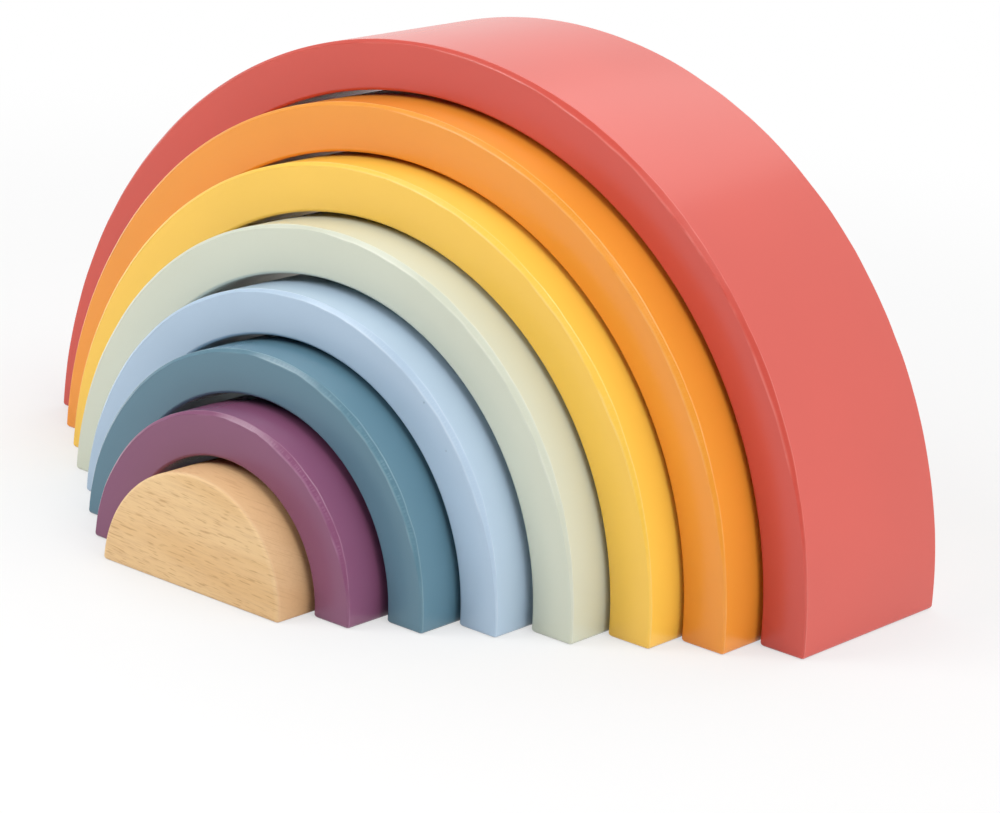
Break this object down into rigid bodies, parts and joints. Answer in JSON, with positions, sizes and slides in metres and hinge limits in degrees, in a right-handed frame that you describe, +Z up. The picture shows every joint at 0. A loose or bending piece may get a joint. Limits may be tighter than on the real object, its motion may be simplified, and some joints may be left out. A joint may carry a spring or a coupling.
{
  "type": "rainbow stacker",
  "caption": "Wooden rainbow stacker: painted half-ring arches nested around a solid beech half-round, loose pieces that slide out along the tunnel for stacking play.",
  "frame": {"origin": "on the floor, under the middle of the set's bounding box", "axes": "+X right along the arches' span, +Y along the tunnel from the fronts to the backs, +Z up"},
  "size_m": [0.28, 0.1544, 0.14],
  "materials": {
    "red_paint": "satin painted wood",
    "orange_paint": "satin painted wood",
    "yellow_paint": "satin painted wood",
    "green_paint": "satin painted wood",
    "light_blue_paint": "satin painted wood",
    "teal_paint": "satin painted wood",
    "purple_paint": "satin painted wood",
    "bare_beech": "bare sanded beech, lightly oiled"
  },
  "bodies": {
    "red_arch": {"red_arch": "red_paint"},
    "orange_arch": {"orange_arch": "orange_paint"},
    "yellow_arch": {"yellow_arch": "yellow_paint"},
    "green_arch": {"green_arch": "green_paint"},
    "light_blue_arch": {"light_blue_arch": "light_blue_paint"},
    "teal_arch": {"teal_arch": "teal_paint"},
    "purple_arch": {"purple_arch": "purple_paint"},
    "beech_half_round": {"beech_half_round": "bare_beech"}
  },
  "joints": [
    {"name": "orange_slide", "type": "slide", "parent": "red_arch", "child": "orange_arch", "axis": [0, -1, 0], "range_m": [-0.0145, 0.0575]},
    {"name": "yellow_slide", "type": "slide", "parent": "red_arch", "child": "yellow_arch", "axis": [0, -1, 0], "range_m": [-0.027, 0.117]},
    {"name": "green_slide", "type": "slide", "parent": "red_arch", "child": "green_arch", "axis": [0, -1, 0], "range_m": [-0.041, 0.175]},
    {"name": "light_blue_slide", "type": "slide", "parent": "red_arch", "child": "light_blue_arch", "axis": [0, -1, 0], "range_m": [-0.053, 0.235]},
    {"name": "teal_slide", "type": "slide", "parent": "red_arch", "child": "teal_arch", "axis": [0, -1, 0], "range_m": [-0.0665, 0.2935]},
    {"name": "purple_slide", "type": "slide", "parent": "red_arch", "child": "purple_arch", "axis": [0, -1, 0], "range_m": [-0.079, 0.353]},
    {"name": "beech_slide", "type": "slide", "parent": "red_arch", "child": "beech_half_round", "axis": [0, -1, 0], "range_m": [-0.0905, 0.4135]}
  ]
}
